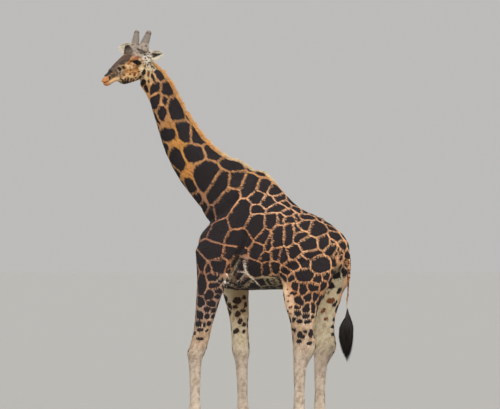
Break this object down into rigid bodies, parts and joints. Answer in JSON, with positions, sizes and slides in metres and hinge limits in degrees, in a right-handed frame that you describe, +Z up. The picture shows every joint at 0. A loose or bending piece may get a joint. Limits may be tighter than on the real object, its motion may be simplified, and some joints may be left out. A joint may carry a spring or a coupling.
{
  "type": "giraffe",
  "caption": "Life-size still model of a standing adult bull giraffe, neck slanted forward, head turned to its left, tail hanging.",
  "frame": {"origin": "on the floor, under the middle of the whole model's box", "axes": "+Z up; the giraffe's body faces -X and its left side is -Y; the hooves stand on Z = 0"},
  "size_m": [2.857, 1.324, 4.8863],
  "materials": {
    "coat": "short flat hair in blackish brown patches on tan lines",
    "mane": "stiff upright orange-tan hair",
    "tail_hair": "long black hair",
    "ossicone": "worn grey-brown skin",
    "ossicone_hair": "dark upright hair",
    "ear": "cream-white short hair",
    "eye": "wet and dark",
    "hoof": "ringed dark horn"
  },
  "bodies": {
    "root": {"head": "coat", "neck_upper": "coat", "neck_lower": "coat", "trunk": "coat", "front_left_leg": "coat", "front_right_leg": "coat", "hind_left_leg": "coat", "hind_right_leg": "coat", "tail": "coat", "tail_tuft": "tail_hair", "mane": "mane", "left_ossicone": "ossicone", "right_ossicone": "ossicone", "median_ossicone": "ossicone_hair", "left_ear": "ear", "right_ear": "ear", "left_eye": "eye", "right_eye": "eye", "front_left_hoof_outer": "hoof", "front_left_hoof_inner": "hoof", "front_right_hoof_outer": "hoof", "front_right_hoof_inner": "hoof", "hind_left_hoof_outer": "hoof", "hind_left_hoof_inner": "hoof", "hind_right_hoof_outer": "hoof", "hind_right_hoof_inner": "hoof"}
  },
  "joints": []
}
